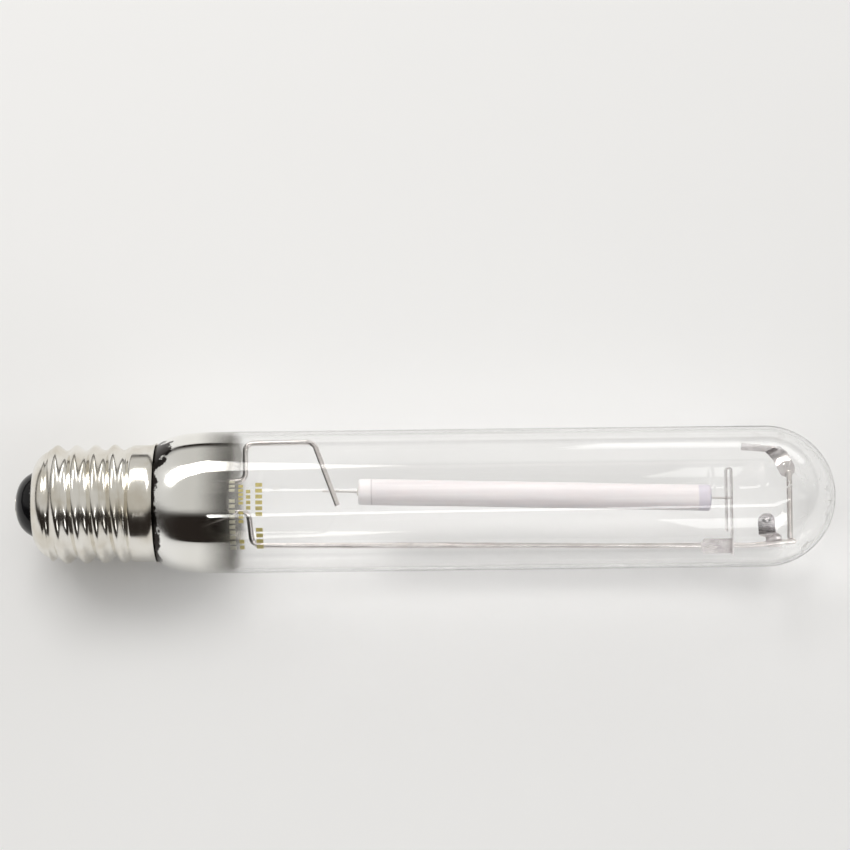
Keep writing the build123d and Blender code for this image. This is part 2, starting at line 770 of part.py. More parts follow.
pieces = {
    "screw_shell": make_screw_shell(),
    "base_insulator": make_base_insulator(),
    "centre_contact": make_centre_contact(),
    "centre_solder": make_centre_solder(),
    "basing_cement": make_basing_cement(),
    "glass_envelope": make_glass_envelope(),
    "glass_stem": make_glass_stem(),
    "exhaust_tube": make_exhaust_tube(),
    "seal_wire_upper": make_seal_wire(upper_wire_offset),
    "seal_wire_lower": make_seal_wire(lower_wire_offset),
    "centre_lead_wire": make_centre_lead_wire(),
    "shell_lead_wire": make_shell_lead_wire(),
    "shell_weld": make_shell_weld(),
    "upper_lead_rod": make_upper_lead_rod(),
    "frame_rod": make_frame_rod(),
    "dome_cross_bar": make_dome_cross_bar(),
    "support_strip": make_support_strip(),
    "front_dome_spring": make_front_dome_spring(),
    "rear_dome_spring": make_rear_dome_spring(),
    "getter_ring": make_getter_ring(),
    "getter_wire": make_getter_wire(),
    "arc_tube_body": make_arc_tube_body(),
    "arc_tube_plug_base": make_arc_tube_plug(0, base_lead_diameter),
    "arc_tube_plug_dome": make_arc_tube_plug(arc_tube_length - plug_length, dome_lead_diameter),
    "frit_ring_base": make_frit_ring(0, -1, base_lead_diameter),
    "frit_ring_dome": make_frit_ring(arc_tube_length, 1, dome_lead_diameter),
    "niobium_lead_base": make_niobium_lead(-base_lead_length, base_lead_end, base_lead_diameter),
    "niobium_lead_dome": make_niobium_lead(
        dome_lead_start, arc_tube_length + dome_lead_length - weld_gap, dome_lead_diameter
    ),
    "electrode_rod_base": make_electrode_rod(base_lead_end, 1),
    "electrode_rod_dome": make_electrode_rod(dome_lead_start, -1),
    "electrode_coil_base": make_electrode_coil(base_lead_end, 1),
    "electrode_coil_dome": make_electrode_coil(dome_lead_start, -1),
    "amalgam_pellet": make_amalgam_pellet(),
}

for name, shape in pieces.items():
    export_step(lay_down(shape), f"parts/{name}.step")
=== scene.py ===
import math

import bpy
import numpy as np
from mathutils import Matrix, Vector


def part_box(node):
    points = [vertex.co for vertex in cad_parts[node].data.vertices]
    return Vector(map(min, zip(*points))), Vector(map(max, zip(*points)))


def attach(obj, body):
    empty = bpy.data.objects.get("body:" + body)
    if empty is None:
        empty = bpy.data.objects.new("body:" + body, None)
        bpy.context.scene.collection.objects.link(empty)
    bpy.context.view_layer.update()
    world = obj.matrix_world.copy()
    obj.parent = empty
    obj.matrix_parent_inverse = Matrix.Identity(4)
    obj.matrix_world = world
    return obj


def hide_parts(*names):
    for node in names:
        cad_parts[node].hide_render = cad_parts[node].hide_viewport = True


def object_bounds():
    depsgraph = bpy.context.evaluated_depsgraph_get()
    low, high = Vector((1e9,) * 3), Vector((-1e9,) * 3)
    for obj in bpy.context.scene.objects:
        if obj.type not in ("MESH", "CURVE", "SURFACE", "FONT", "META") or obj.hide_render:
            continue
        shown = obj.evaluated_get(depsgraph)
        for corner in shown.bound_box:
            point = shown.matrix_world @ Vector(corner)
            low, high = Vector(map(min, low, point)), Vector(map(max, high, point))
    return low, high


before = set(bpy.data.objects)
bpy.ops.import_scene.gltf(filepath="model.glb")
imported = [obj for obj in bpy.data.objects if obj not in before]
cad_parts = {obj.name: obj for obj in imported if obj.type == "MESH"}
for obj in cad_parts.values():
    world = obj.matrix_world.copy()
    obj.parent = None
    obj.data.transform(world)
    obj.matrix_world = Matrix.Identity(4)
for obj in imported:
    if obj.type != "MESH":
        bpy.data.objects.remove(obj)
cadBounds = [list(map(float, corner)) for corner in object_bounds()]
print("frame loaded:", len(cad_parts), "nodes")

# The lamp lies along X, nose at the low end. Distances called along are counted from the nose,
# side is towards the upper lead rod and height is square to the plane of the wire mount
noseX = cadBounds[0][0]
lampLength = cadBounds[1][0] - noseX
axisZ = (cadBounds[0][2] + cadBounds[1][2]) / 2
bulbRadius = (cadBounds[1][2] - cadBounds[0][2]) / 2
mountRoll = math.radians(22.0)


def lampPoints(along, side, height):
    # Lamp coordinates to the row frame: a shift along X and a turn about the axis
    along, side, height = np.broadcast_arrays(along, side, height)
    y = side * math.cos(mountRoll) - height * math.sin(mountRoll)
    z = side * math.sin(mountRoll) + height * math.cos(mountRoll)
    return np.stack([noseX + along, y, axisZ + z], axis=-1)


def clampedSpline(points, startSlope, endSlope, samples):
    # Cubic spline over chord length with given end directions, solved as one linear system for its bends
    points = np.asarray(points, float)
    chord = np.linalg.norm(np.diff(points, axis=0), axis=1)
    t = np.concatenate([[0], np.cumsum(chord)])
    n = len(points)
    matrix = np.zeros((n, n))
    right = np.zeros((n, 2))
    rise = np.diff(points, axis=0) / chord[:, None]
    matrix[0, :2] = 2 * chord[0], chord[0]
    matrix[-1, -2:] = chord[-1], 2 * chord[-1]
    right[0] = 6 * (rise[0] - startSlope)
    right[-1] = 6 * (np.asarray(endSlope) - rise[-1])
    inner = np.arange(1, n - 1)
    matrix[inner, inner - 1] = chord[:-1]
    matrix[inner, inner] = 2 * (chord[:-1] + chord[1:])
    matrix[inner, inner + 1] = chord[1:]
    right[1:-1] = 6 * np.diff(rise, axis=0)
    bend = np.linalg.solve(matrix, right)
    at = np.linspace(0, t[-1], samples)
    span = np.clip(np.searchsorted(t, at, side="right") - 1, 0, n - 2)
    h = chord[span][:, None]
    a = (t[span + 1] - at)[:, None]
    b = (at - t[span])[:, None]
    curve = (bend[span] * a**3 + bend[span + 1] * b**3) / (6 * h)
    curve += (points[span] / h - bend[span] * h / 6) * a
    curve += (points[span + 1] / h - bend[span + 1] * h / 6) * b
    return curve


def arcPoints(centre, radius, start, end, samples):
    # Points at even turns on a circle, from one angle to the other
    turn = np.radians(np.linspace(start, end, samples))
    return np.stack([centre[0] + radius * np.cos(turn), centre[1] + radius * np.sin(turn)], axis=1)


def outwards(mesh):
    # The signed volume, a sixth of the sum of a . (b x c) over the triangles, says which way the faces point
    mesh.calc_loop_triangles()
    triangles = np.empty(len(mesh.loop_triangles) * 3, np.int32)
    mesh.loop_triangles.foreach_get("vertices", triangles)
    points = np.empty(len(mesh.vertices) * 3)
    mesh.vertices.foreach_get("co", points)
    corners = points.reshape(-1, 3)[triangles.reshape(-1, 3)]
    if np.einsum("ij,ij->i", corners[:, 0], np.cross(corners[:, 1], corners[:, 2])).sum() < 0:
        mesh.flip_normals()
    return mesh


def gridMesh(name, grid, poles=None):
    # Quads over rows by columns, closed around the columns. The rows close too, or end in a fan at each pole
    rows, columns = grid.shape[:2]
    index = np.arange(rows * columns).reshape(rows, columns)
    lower, upper = (index, np.roll(index, -1, axis=0)) if poles is None else (index[:-1], index[1:])
    quads = np.stack([lower, np.roll(lower, -1, 1), np.roll(upper, -1, 1), upper], axis=-1)
    vertices = grid.reshape(-1, 3)
    faces = quads.reshape(-1, 4).tolist()
    if poles is not None:
        vertices = np.vstack([vertices, poles])
        beside = np.roll(index, -1, axis=1)
        for pole, first, second in ((0, beside[0], index[0]), (1, index[-1], beside[-1])):
            faces += np.stack([first, second, np.full(columns, rows * columns + pole)], axis=1).tolist()
    mesh = bpy.data.meshes.new(name)
    mesh.from_pydata(vertices.tolist(), [], faces)
    mesh.update()
    return outwards(mesh)


def closedLathe(name, profile, around):
    # A profile of along and radius that starts and ends on the axis, turned about it: side and height are
    # the radius times the cosine and sine of the turn
    turn = np.linspace(0, 2 * math.pi, around, endpoint=False)
    along, radius = profile[1:-1, :1], profile[1:-1, 1:]
    grid = lampPoints(along, radius * np.cos(turn), radius * np.sin(turn))
    return gridMesh(name, grid, lampPoints(profile[[0, -1], 0], 0.0, 0.0))


def newPiece(mesh, finish, slot, *nodes, sharp=35.0):
    piece = bpy.data.objects.new(mesh.name, mesh)
    bpy.context.scene.collection.objects.link(piece)
    mesh.polygons.foreach_set("use_smooth", np.ones(len(mesh.polygons), bool))
    mesh.set_sharp_from_angle(angle=math.radians(sharp))
    mesh.materials.append(finish)
    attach(piece, "root")
    if nodes:
        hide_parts(*nodes)
    return piece


class Field:
    # A shader socket that takes part in Python expressions, each one adding a Math node

    def __init__(self, finish, socket):
        self.finish = finish
        self.socket = socket

    def math(self, operation, *others):
        node = self.finish.add("ShaderNodeMath", {"operation": operation}, [self, *others])
        return Field(self.finish, node.outputs[0])

    def __add__(self, other):
        return self.math("ADD", other)

    def __mul__(self, other):
        return self.math("MULTIPLY", other)

    def __sub__(self, other):
        return self.math("SUBTRACT", other)

    def __rsub__(self, other):
        return (self * -1.0) + other

    __radd__ = __add__
    __rmul__ = __mul__

    def ramp(self, low, high, start=0.0, end=1.0):
        settings = {"interpolation_type": "SMOOTHSTEP", "clamp": True}
        values = {"Value": self, "From Min": low, "From Max": high, "To Min": start, "To Max": end}
        return Field(self.finish, self.finish.add("ShaderNodeMapRange", settings, values).outputs[0])

    def clamped(self):
        return self.math("MINIMUM", 1.0).math("MAXIMUM", 0.0)


class Tree:
    # A node tree whose nodes are added by one method

    def __init__(self, tree):
        self.tree = tree

    def add(self, kind, settings=None, values=None):
        node = self.tree.nodes.new(kind)
        for key, value in (settings or {}).items():
            setattr(node, key, value)
        pairs = values.items() if isinstance(values, dict) else enumerate(values or [])
        for key, value in pairs:
            self.feed(node.inputs[key], value)
        return node

    def feed(self, socket, value):
        if isinstance(value, Field):
            value = value.socket
        if isinstance(value, bpy.types.NodeSocket):
            self.tree.links.new(value, socket)
        else:
            socket.default_value = value

    def mix(self, share, first, second):
        node = self.add("ShaderNodeMix", {"data_type": "RGBA"})
        sockets = [s for s in node.inputs if s.type == "RGBA"]
        self.feed(node.inputs[0], share)
        for socket, colour in zip(sockets, (first, second)):
            self.feed(socket, (*colour, 1.0) if isinstance(colour, tuple) else colour)
        return [s for s in node.outputs if s.type == "RGBA"][0]


class Finish(Tree):
    # A material with one Principled shader

    def __init__(self, name, colour, roughness, metallic=0.0, **constants):
        self.material = bpy.data.materials.new(name)
        self.material.use_nodes = True
        super().__init__(self.material.node_tree)
        self.shader = self.tree.nodes["Principled BSDF"]
        self.output = self.tree.nodes["Material Output"]
        self.shader.inputs["Base Color"].default_value = (*colour, 1.0)
        self.shader.inputs["Roughness"].default_value = roughness
        self.shader.inputs["Metallic"].default_value = metallic
        for words, value in constants.items():
            self.shader.inputs[words.replace("_", " ")].default_value = value
        self.place = self.add("ShaderNodeTexCoord").outputs["Object"]

    def drive(self, name, value):
        self.feed(self.shader.inputs[name], value)

    def parts(self):
        split = self.add("ShaderNodeSeparateXYZ", None, [self.place])
        return [Field(self, socket) for socket in split.outputs]

    def stretched(self, scale):
        values = {"Vector": self.place, "Scale": scale}
        return self.add("ShaderNodeMapping", {"vector_type": "POINT"}, values).outputs[0]

    def noise(self, scale, detail=3.0, roughness=0.55, where=None):
        values = {"Vector": where or self.place, "Scale": scale, "Detail": detail, "Roughness": roughness}
        return Field(self, self.add("ShaderNodeTexNoise", None, values).outputs[0])

    def bump(self, height, strength, distance):
        values = {"Strength": strength, "Distance": distance, "Height": height}
        self.drive("Normal", self.add("ShaderNodeBump", None, values).outputs[0])


print("materials")

lampwise = (0.12, 1.0, 1.0)  # streaks along the lamp
capwise = (1.0, 0.06, 0.06)  # streaks around the cap

metalShapes = {
    # bright colour, dull colour, roughness, scale of the streaks and of the blotches, relief, grain
    "nickel_plate": ((0.88, 0.86, 0.81), (0.70, 0.655, 0.565), 0.15, 1100.0, 90.0, 0.18, capwise),
    "mount_wire": ((0.89, 0.855, 0.84), (0.74, 0.69, 0.675), 0.22, 1400.0, 160.0, 0.04, lampwise),
    "mount_strip": ((0.78, 0.75, 0.75), (0.50, 0.465, 0.475), 0.24, 1100.0, 140.0, 0.10, lampwise),
    "niobium": ((0.88, 0.85, 0.84), (0.66, 0.62, 0.62), 0.30, 1300.0, 150.0, 0.18, lampwise),
    "tungsten": ((0.42, 0.41, 0.40), (0.25, 0.24, 0.23), 0.38, 1600.0, 200.0, 0.18, lampwise),
    "solder": ((0.66, 0.66, 0.65), (0.44, 0.43, 0.42), 0.42, 700.0, 260.0, 0.18, lampwise),
    "copper_wire": ((0.80, 0.52, 0.36), (0.48, 0.28, 0.18), 0.30, 1300.0, 180.0, 0.18, lampwise),
    "amalgam": ((0.78, 0.78, 0.79), (0.60, 0.60, 0.62), 0.12, 500.0, 300.0, 0.18, lampwise),
}

metalWear = {
    "streakRoughness": 0.16,
    "blotchRoughness": 0.14,
    "dullFrom": (0.35, 0.75),  # the blotches' noise turns the bright colour dull between these
    "bumpDistance": 0.00004,
}


def makeMetal(name):
    # Drawn or rolled metal: fine streaks along its grain, blotches of haze and a small bump
    bright, dull, roughness, streaks, blotches, relief, grain = metalShapes[name]
    finish = Finish(name, bright, roughness, 1.0)
    fine = finish.noise(streaks, 4.0, 0.6, finish.stretched(grain))
    cloud = finish.noise(blotches, 3.0)
    w = metalWear
    finish.drive("Base Color", finish.mix(cloud.ramp(*w["dullFrom"]), bright, dull))
    worn = fine * w["streakRoughness"] + cloud * w["blotchRoughness"] + (roughness - w["blotchRoughness"])
    finish.drive("Roughness", worn.clamped())
    finish.bump(fine, relief, w["bumpDistance"])
    return finish.material


blackGlassShape = {
    "colour": (0.007, 0.007, 0.008),
    "dustColour": (0.08, 0.075, 0.07),
    "roughness": 0.03,
    "waves": 140.0,
    "dust": 1500.0,
    "dustFrom": (0.62, 0.80),
    "waveHeight": 0.0003,
}


def makeBlackGlass():
    # Moulded glass: a slow wave in its surface and specks of dust
    b = blackGlassShape
    finish = Finish("black_glass", b["colour"], 0.08, Specular_IOR_Level=0.3)
    wave = finish.noise(b["waves"], 3.0)
    dust = finish.noise(b["dust"], 2.0).ramp(*b["dustFrom"])
    finish.drive("Base Color", finish.mix(dust * 0.4, b["colour"], b["dustColour"]))
    finish.drive("Roughness", wave * 0.10 + dust * 0.25 + b["roughness"])
    finish.bump(wave, 0.25, b["waveHeight"])
    return finish.material


grainShapes = {
    # low and high colour, roughness, scale, detail, share of fine grain, bump strength and distance
    "cement": ((0.07, 0.06, 0.05), (0.20, 0.17, 0.13), 0.9, 900.0, 5.0, 0.7, 0.6, 0.0003),
    "sealing_frit": ((0.72, 0.69, 0.64), (0.86, 0.85, 0.82), 0.25, 1500.0, 3.0, 0.55, 0.3, 0.0001),
}


def makeGrain(name):
    # Grainy solid whose tone and surface follow one noise
    low, high, roughness, scale, detail, fineness, strength, distance = grainShapes[name]
    finish = Finish(name, low, roughness)
    grain = finish.noise(scale, detail, fineness)
    finish.drive("Base Color", finish.mix(grain.ramp(0.3, 0.7), low, high))
    finish.bump(grain, strength, distance)
    return finish.material


ceramicShape = {
    "bodyColours": ((0.80, 0.745, 0.765), (0.875, 0.83, 0.84)),
    "basePlugColour": (0.90, 0.86, 0.87),
    "lineColour": (0.45, 0.40, 0.42),
    "domePlugColour": (0.67, 0.625, 0.71),
    "blur": 0.00025,  # half the width of each change of tone
    "streaks": 420.0,
    "streakStretch": (0.03, 1.0, 1.0),
    "streakFrom": (0.35, 0.70),
    "grain": 2600.0,
    "grainHeight": 0.00003,
    "roughness": 0.22,
}


def makeWhiteCeramic():
    # Translucent tube, faintly streaked along its length: the base plug shows paler, the dome plug lilac
    c = ceramicShape
    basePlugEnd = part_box("arc_tube_plug_base")[1][0]
    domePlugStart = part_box("arc_tube_plug_dome")[0][0]
    finish = Finish("white_ceramic", (0.84, 0.78, 0.80), 0.34, Subsurface_Weight=0.25,
                    Subsurface_Scale=0.0015, Subsurface_Radius=(1.0, 0.75, 0.7),
                    Coat_Weight=0.15, Coat_Roughness=0.15)
    x, y, z = finish.parts()
    streak = finish.noise(c["streaks"], 4.0, 0.6, finish.stretched(c["streakStretch"]))
    grain = finish.noise(c["grain"], 3.0)
    blur = c["blur"]
    baseEnd = x.ramp(basePlugEnd - blur, basePlugEnd + blur, 1.0, 0.0)
    domeEnd = x.ramp(domePlugStart - blur, domePlugStart + blur)
    baseLine = (x - (basePlugEnd + blur)).math("ABSOLUTE").ramp(0.0, 1.5 * blur, 1.0, 0.0)
    tone = finish.mix(streak.ramp(*c["streakFrom"]), *c["bodyColours"])
    tone = finish.mix(baseEnd * 0.7, tone, c["basePlugColour"])
    tone = finish.mix(baseLine * 0.5, tone, c["lineColour"])
    finish.drive("Base Color", finish.mix(domeEnd * 0.85, tone, c["domePlugColour"]))
    finish.drive("Roughness", grain * 0.15 + streak * 0.12 + c["roughness"])
    finish.bump(grain, 0.15, c["grainHeight"])
    return finish.material


def lampLightThrough(finish):
    # Lamps shine through clear glass: shadow rays meet a nearly clear surface
    path = finish.add("ShaderNodeLightPath").outputs["Is Shadow Ray"]
    clear = finish.add("ShaderNodeBsdfTransparent", None, [(0.94, 0.94, 0.94, 1.0)])
    both = finish.add("ShaderNodeMixShader", None, [path, finish.shader.outputs[0], clear.outputs[0]])
    finish.feed(finish.output.inputs["Surface"], both.outputs[0])


mirrorShape = {
    "solidEnd": 0.060,  # the mirror is whole up to here, counted from the nose
    "clearFrom": 0.076,
    "wander": 0.003,
    "wanderScale": 55.0,
    "raggedEdge": 0.0485,  # on the cap's side of this the film is painted dark as the rim's shadow, with a ragged edge
    "raggedness": 0.0035,
    "tearScale": 210.0,
    "blur": 0.0003,
    "paintedReflectionSide": (0.003, 0.008, 0.015, 0.019),  # on this side the painted shade reaches further, as a painted dark reflection
    "paintedReflectionReach": 0.0030,
    "paintedReflectionTears": 1.6,  # and are torn by this much more
    "satinReach": 0.011,  # the film is satin up to this far past its edge
    "satinColour": (0.985, 0.98, 0.955),
    "colour": (0.90, 0.89, 0.85),
    "fadeColour": (0.42, 0.41, 0.39),
    # painted shade: the rim's shadow and a dark reflection on the film beside the rim
    "paintedRimShadowColour": (0.035, 0.03, 0.028),
}

scuffShape = {
    "from": 0.112,  # the dome's fine scuffs start here along X
    "full": 0.118,
    "cells": 130.0,
    "warp": 0.012,
    "warpScale": 90.0,
    "patchScale": 160.0,
    "patchFrom": (0.53, 0.59),
    "width": 0.009,  # share of a cell of the web that each one follows
    "strength": 0.4,
}


def getterFilm(finish, x, y):
    # The mirror fades with distance from the nose. By the rim it is painted dark as the rim's shadow, its
    # edge torn by a noise.
    # This painted shade reaches further on one side as a painted dark reflection, and the film beside it is
    # satin
    m = mirrorShape
    cloud = finish.noise(m["wanderScale"], 3.0, 0.6, finish.stretched((0.6, 1.0, 1.0)))
    wander = (cloud - 0.5) * (2 * m["wander"])
    mirror = (x - noseX + wander).ramp(m["solidEnd"], m["clearFrom"], 1.0, 0.0)
    low, lowFull, highFull, high = m["paintedReflectionSide"]
    upper = y.ramp(low, lowFull) * y.ramp(highFull, high, 1.0, 0.0)
    tears = finish.noise(m["tearScale"], 5.0, 0.65) - 0.5
    shreds = tears * (upper * m["paintedReflectionTears"] + 1.0) * (2 * m["raggedness"]) - upper * m["paintedReflectionReach"]
    edge = m["raggedEdge"]
    # painted shade by the rim, its edge torn by the noise
    outsideRimShade = (x - noseX + shreds).ramp(edge - m["blur"], edge + m["blur"])
    satin = (x - noseX).ramp(edge, edge + m["satinReach"], 1.0, 0.0)
    bright = finish.mix(mirror, m["fadeColour"], m["colour"])
    bright = finish.mix(satin, bright, m["satinColour"])
    return mirror, finish.mix(outsideRimShade, m["paintedRimShadowColour"], bright), satin * (tears + 0.6)


def domeScuffs(finish, x):
    # Thin lines on the edges of a bent web of cells, in patches, at the dome alone
    s = scuffShape
    bent = finish.noise(s["warpScale"], 2.0) * s["warp"]
    warped = finish.add("ShaderNodeVectorMath", {"operation": "ADD"}, [finish.place, bent])
    values = {"Vector": warped.outputs[0], "Scale": s["cells"]}
    cells = finish.add("ShaderNodeTexVoronoi", {"feature": "DISTANCE_TO_EDGE"}, values)
    lines = Field(finish, cells.outputs[0]).ramp(s["width"], s["width"] * 2, 1.0, 0.0)
    patches = finish.noise(s["patchScale"], 2.0).ramp(*s["patchFrom"])
    return lines * patches * x.ramp(s["from"], s["full"])


clearShape = {
    "colour": (0.988, 0.988, 0.986),
    # painted shade: the glass's colour darkens towards its edges as the camera sees them
    "paintedRimShadeColour": (0.36, 0.365, 0.36),
    "paintedRimShadeFrom": (0.68, 1.0),  # 1 is glass seen edge on
    "filmFrom": (0.0, 0.15),  # the film's colour takes over between these shares of the mirror
    "hazeScale": 70.0,
    "hazeFrom": (0.55, 0.80),
    "haze": 0.02,
    "mirrorHaze": 0.05,
    "satinHaze": 0.3,
    "lineScale": 260.0,
    "lineStretch": (0.02, 1.0, 1.0),
    "lineHeight": 0.0004,
}


def makeBulbGlass():
    # Clear glass with painted shade where it is seen edge on, with the getter's mirror in the neck, painted
    # dark by the rim, and faint draw lines
    c = clearShape
    finish = Finish("clear_glass", c["colour"], 0.0, IOR=1.47, Transmission_Weight=1.0)
    x, y, z = finish.parts()
    mirror, film, satin = getterFilm(finish, x, y)
    facing = Field(finish, finish.add("ShaderNodeLayerWeight", None, [0.5]).outputs["Facing"])
    # painted shade: the glass is darkened where it is seen edge on
    clear = finish.mix(facing.ramp(*c["paintedRimShadeFrom"]), c["colour"], c["paintedRimShadeColour"])
    finish.drive("Base Color", finish.mix(mirror.ramp(*c["filmFrom"]), clear, film))
    finish.drive("Metallic", mirror)
    haze = finish.noise(c["hazeScale"], 4.0).ramp(*c["hazeFrom"])
    worn = haze * c["haze"] + mirror * c["mirrorHaze"] + satin * c["satinHaze"]
    scuffs = domeScuffs(finish, x) * scuffShape["strength"]
    finish.drive("Roughness", (worn + scuffs).clamped())
    lines = finish.noise(c["lineScale"], 2.0, 0.5, finish.stretched(c["lineStretch"]))
    finish.bump(lines, 0.10, c["lineHeight"])
    lampLightThrough(finish)
    return finish.material


def makeStemGlass():
    # Clear glass worked by hand: a slow wave
    finish = Finish("stem_glass", (0.97, 0.98, 0.98), 0.02, IOR=1.5, Transmission_Weight=1.0)
    wave = finish.noise(160.0, 2.0)
    finish.drive("Roughness", wave * 0.05)
    finish.bump(wave, 0.2, 0.0003)
    lampLightThrough(finish)
    return finish.material


inkShape = {
    "cream": ((0.64, 0.55, 0.19), (0.48, 0.42, 0.17)),  # whole and worn
    "pale": ((0.66, 0.64, 0.52), (0.52, 0.50, 0.42)),
    "paleUpTo": (0.0744, 0.0750),  # the column nearest to the cap is pale
    "wearScale": 1500.0,
    "wearFrom": (0.35, 0.65),
}


def makePrintInk():
    # Two tones of ink, each worn by a noise
    finish = Finish("print_ink", (0.62, 0.53, 0.20), 0.55)
    x, y, z = finish.parts()
    worn = finish.noise(inkShape["wearScale"], 3.0).ramp(*inkShape["wearFrom"])
    cream = finish.mix(worn, *inkShape["cream"])
    pale = finish.mix(worn, *inkShape["pale"])
    finish.drive("Base Color", finish.mix((x - noseX).ramp(*inkShape["paleUpTo"]), pale, cream))
    return finish.material


metal = {name: makeMetal(name) for name in metalShapes}
bulbGlass = makeBulbGlass()

nodeFinishes = [
    (metal["nickel_plate"], ["centre_contact"]),
    (metal["solder"], ["centre_solder", "shell_weld"]),
    (makeBlackGlass(), ["base_insulator"]),
    (makeGrain("cement"), ["basing_cement"]),
    (makeStemGlass(), ["glass_stem", "exhaust_tube"]),
    (metal["tungsten"], ["seal_wire_upper", "seal_wire_lower", "electrode_rod_base", "electrode_rod_dome",
                         "electrode_coil_base", "electrode_coil_dome"]),
    (metal["copper_wire"], ["centre_lead_wire", "shell_lead_wire"]),
    (metal["mount_strip"], ["support_strip", "front_dome_spring", "rear_dome_spring", "getter_ring"]),
    (metal["mount_wire"], ["upper_lead_rod", "frame_rod", "dome_cross_bar", "getter_wire"]),
    (makeWhiteCeramic(), ["arc_tube_body", "arc_tube_plug_base", "arc_tube_plug_dome"]),
    (makeGrain("sealing_frit"), ["frit_ring_base", "frit_ring_dome"]),
    (metal["niobium"], ["niobium_lead_base", "niobium_lead_dome"]),
    (metal["amalgam"], ["amalgam_pellet"]),
]

skinShape = {
    "mergeWithin": 0.000002,
    "sharpFrom": math.radians(30.0),
}


def makeSmoothSkin():
    # Joins a node's loose triangles and shades it smooth but for its sharp edges
    group = bpy.data.node_groups.new("smooth_skin", "GeometryNodeTree")
    group.interface.new_socket("Geometry", in_out="INPUT", socket_type="NodeSocketGeometry")
    group.interface.new_socket("Geometry", in_out="OUTPUT", socket_type="NodeSocketGeometry")
    skin = Tree(group)
    start = skin.add("NodeGroupInput")
    values = {"Geometry": start.outputs[0], "Distance": skinShape["mergeWithin"]}
    merge = skin.add("GeometryNodeMergeByDistance", None, values)
    faces = skin.add("GeometryNodeSetShadeSmooth", None, {"Geometry": merge.outputs[0]})
    angle = skin.add("GeometryNodeInputMeshEdgeAngle").outputs["Unsigned Angle"]
    values = {"A": angle, "B": skinShape["sharpFrom"]}
    flat = skin.add("FunctionNodeCompare", {"operation": "LESS_THAN"}, values)
    values = {"Geometry": faces.outputs[0], "Shade Smooth": flat.outputs[0]}
    edges = skin.add("GeometryNodeSetShadeSmooth", {"domain": "EDGE"}, values)
    skin.add("NodeGroupOutput", None, [edges.outputs[0]])
    return group


smoothSkin = makeSmoothSkin()
for material, names in nodeFinishes:
    for name in names:
        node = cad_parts[name]
        node.data.materials.clear()
        node.data.materials.append(material)
        node.modifiers.new("smooth_skin", "NODES").node_group = smoothSkin
        even = node.modifiers.new("even_normals", "WEIGHTED_NORMAL")
        even.mode = "FACE_AREA"
        even.keep_sharp = True

print("bulb")

glassShape = {
    "wall": 0.0011,
    "neckEnd": 0.020,
    "neckRadius": 0.016,
    "shoulderStart": 0.036,
    "shoulderAtRim": (0.0471, 0.01945),
    "shoulderEnd": 0.066,
    # Share of the length, and share of the rise, from the neck to the rim and from the rim to the full width
    "neckCurve": [(0.0, 0.0), (0.5946, 0.2391)],
    "shoulderCurve": [(0.0, 0.0), (0.2222, 0.5556), (0.5238, 0.8704), (1.0, 1.0)],
    "shoulderSamples": 48,
    "tubeSamples": 60,
    "domeSamples": 56,
    "around": 192,
}


def glassLine(inset):
    # Neck, spline shoulder, straight tube and quarter circle to the dome's tip, moved in along the normal
    g = glassShape
    start = np.array([g["shoulderStart"], g["neckRadius"]])
    middle = np.array(g["shoulderAtRim"])
    end = np.array([g["shoulderEnd"], bulbRadius])
    curve = np.vstack([start + np.array(g["neckCurve"]) * (middle - start),
                       middle + np.array(g["shoulderCurve"]) * (end - middle)])
    shoulder = clampedSpline(curve, (1, 0), (1, 0), g["shoulderSamples"])
    slope = np.gradient(shoulder, axis=0)
    slope /= np.linalg.norm(slope, axis=1)[:, None]
    shoulder = shoulder + inset * np.stack([slope[:, 1], -slope[:, 0]], axis=1)
    neck = [(g["neckEnd"], g["neckRadius"] - inset)]
    domeCentre = lampLength - bulbRadius
    tubeAlong = np.linspace(g["shoulderEnd"], domeCentre, g["tubeSamples"])[1:-1]
    straight = np.stack([tubeAlong, np.full_like(tubeAlong, bulbRadius - inset)], axis=1)
    dome = arcPoints((domeCentre, 0), bulbRadius - inset, 90, 0, g["domeSamples"])
    dome[-1, 1] = 0.0
    return np.vstack([neck, shoulder, straight, dome])


def makeBulb():
    # Outside of the glass from the tip to the neck, then the inside back to the tip
    profile = np.vstack([glassLine(0.0)[::-1], glassLine(glassShape["wall"])])
    mesh = closedLathe("glass_bulb", profile, glassShape["around"])
    return newPiece(mesh, bulbGlass, "clear_glass", "glass_envelope", sharp=60.0)


makeBulb()

print("screw shell")

shellShape = {
    "lipRadius": 0.011,
    "frontRound": 0.008,
    "frontRadius": 0.0176,
    "lipFromNose": 0.006,
    "threadStart": 0.0106,
    "runIn": 0.0014,
    "turns": 4,
    "pitch": 0.00635,
    "depth": 0.00185,
    "crest": 0.0197,
    "crestOnUpperSide": 0.0074,
    "runOut": 0.0022,
    "skirtRadius": 0.01935,
    "skirtLength": 0.005,
    "flareLength": 0.0022,
    "rimRadius": 0.02005,
    "wall": 0.00045,
    "frontSamples": 22,
    "runSamples": 12,
    "threadSamples": 190,
    "skirtSamples": 4,
    "flareSamples": 10,
    "around": 192,
}


def frontArc(inset):
    # Arc of the shell's rounded front through the lip and the start of the thread. Its centre lies square
    # off the middle of the chord between them, by the root of the radius squared less half the chord squared
    s = shellShape
    along = s["threadStart"] - s["lipFromNose"]
    rise = s["frontRadius"] - s["lipRadius"]
    chord = math.hypot(along, rise)
    depth = math.sqrt(s["frontRound"]**2 - (chord / 2)**2)
    centre = ((s["lipFromNose"] + s["threadStart"]) / 2 + depth * rise / chord,
              (s["lipRadius"] + s["frontRadius"]) / 2 - depth * along / chord)
    arc = s["frontRound"] - inset
    first = 180 - math.degrees(math.asin((s["lipRadius"] - centre[1]) / arc))
    last = 180 - math.degrees(math.acos((centre[0] - s["threadStart"]) / arc))
    return arcPoints(centre, arc, first, last, s["frontSamples"])


